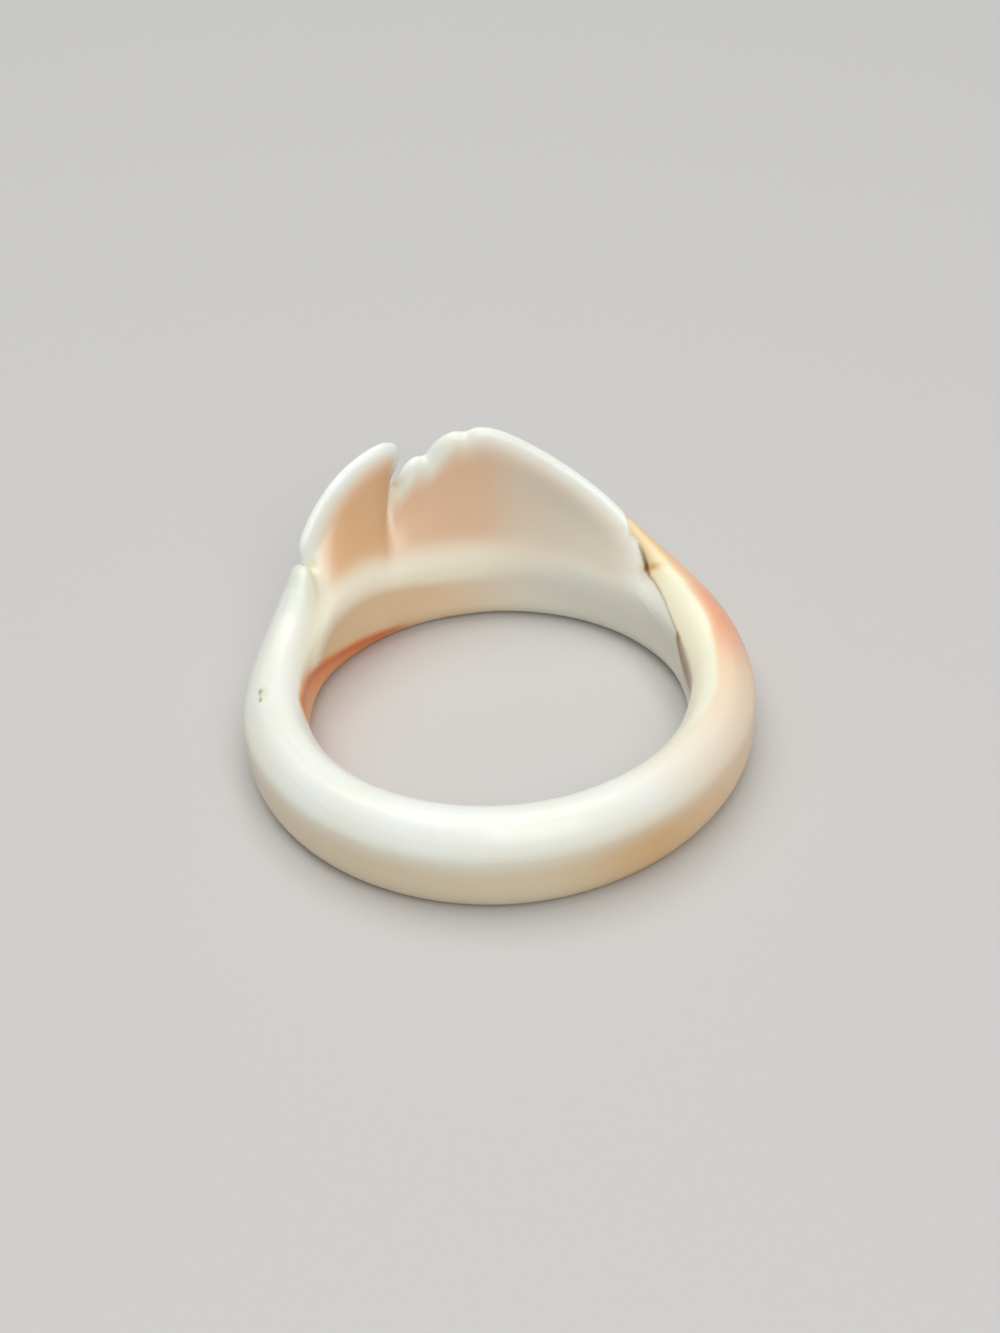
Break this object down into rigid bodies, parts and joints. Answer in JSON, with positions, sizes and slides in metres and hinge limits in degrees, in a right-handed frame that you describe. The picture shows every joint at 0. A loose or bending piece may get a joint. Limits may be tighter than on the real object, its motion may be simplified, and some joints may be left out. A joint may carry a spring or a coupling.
{
  "type": "carved shell ring",
  "caption": "Finger ring carved from solid shell: a rounded band that rises into a hollowed head of overlapping petals, a wide one and a narrow one with a slit between.",
  "frame": {"origin": "on the axis of the finger bore, 2.15 mm above the flat underside, which is half way up the band", "axes": "+Z along the finger bore's axis, with the ring lying on its flat underside; +Y from the bore's axis to the raised head"},
  "size_m": [0.023, 0.0238, 0.0095],
  "materials": {
    "shell": "polished cream and pinkish shell"
  },
  "bodies": {
    "root": {"carved_ring": "shell"}
  },
  "joints": []
}
